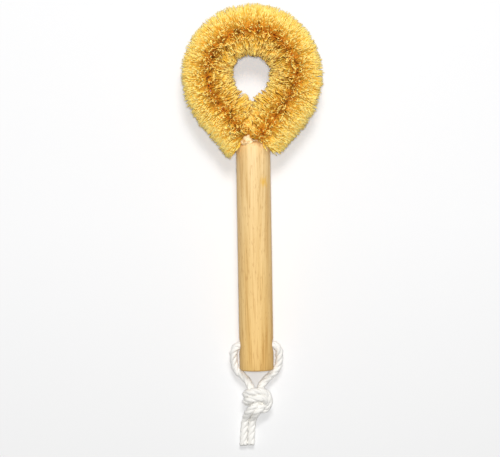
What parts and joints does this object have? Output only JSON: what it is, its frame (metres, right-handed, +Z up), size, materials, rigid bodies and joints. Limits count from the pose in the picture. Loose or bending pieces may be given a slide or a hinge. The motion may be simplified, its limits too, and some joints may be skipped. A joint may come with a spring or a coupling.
{
  "type": "dish brush",
  "caption": "Round dish brush with a ring of stiff plant fibres gripped in a twisted wire loop, set in a turned wooden handle with a knotted cotton hanging cord.",
  "frame": {"origin": "bottom centre of the box of the brush as it lies on its back on a table, without its cord", "axes": "+X to the right seen from above with the head away, +Y from the handle's butt to the head, +Z up"},
  "size_m": [0.083, 0.261, 0.0342],
  "materials": {
    "handle_wood": "fine sanded, bare",
    "core_wire": "galvanised",
    "glue": "cured, dull",
    "plant_fibre": "stiff golden fibre",
    "cotton_cord": "laid cotton"
  },
  "bodies": {
    "brush": {"bristle_bundle_01": "plant_fibre", "bristle_bundle_02": "plant_fibre", "bristle_bundle_03": "plant_fibre", "bristle_bundle_04": "plant_fibre", "bristle_bundle_05": "plant_fibre", "bristle_bundle_06": "plant_fibre", "bristle_bundle_07": "plant_fibre", "bristle_bundle_08": "plant_fibre", "bristle_bundle_09": "plant_fibre", "bristle_bundle_10": "plant_fibre", "bristle_bundle_11": "plant_fibre", "bristle_bundle_12": "plant_fibre", "bristle_bundle_13": "plant_fibre", "bristle_bundle_14": "plant_fibre", "bristle_bundle_15": "plant_fibre", "bristle_bundle_16": "plant_fibre", "bristle_bundle_17": "plant_fibre", "bristle_bundle_18": "plant_fibre", "bristle_bundle_19": "plant_fibre", "bristle_bundle_20": "plant_fibre", "bristle_bundle_21": "plant_fibre", "bristle_bundle_22": "plant_fibre", "bristle_bundle_23": "plant_fibre", "bristle_bundle_24": "plant_fibre", "bristle_bundle_25": "plant_fibre", "bristle_bundle_26": "plant_fibre", "bristle_bundle_27": "plant_fibre", "bristle_bundle_28": "plant_fibre", "bristle_bundle_29": "plant_fibre", "bristle_bundle_30": "plant_fibre", "bristle_bundle_31": "plant_fibre", "core_wire_a": "core_wire", "core_wire_b": "core_wire", "handle": "handle_wood", "socket_glue": "glue"},
    "cord": {"cord_in_hole": "cotton_cord", "cord_knot": "cotton_cord", "cord_left_leg": "cotton_cord", "cord_left_tail": "cotton_cord", "cord_right_leg": "cotton_cord", "cord_right_tail": "cotton_cord"}
  },
  "joints": [
    {"name": "cord_swing", "type": "hinge", "parent": "brush", "child": "cord", "pos_m": [0, -0.09294, 0.01055], "axis": [-1, 0, 0], "range_deg": [-140, 143]}
  ]
}
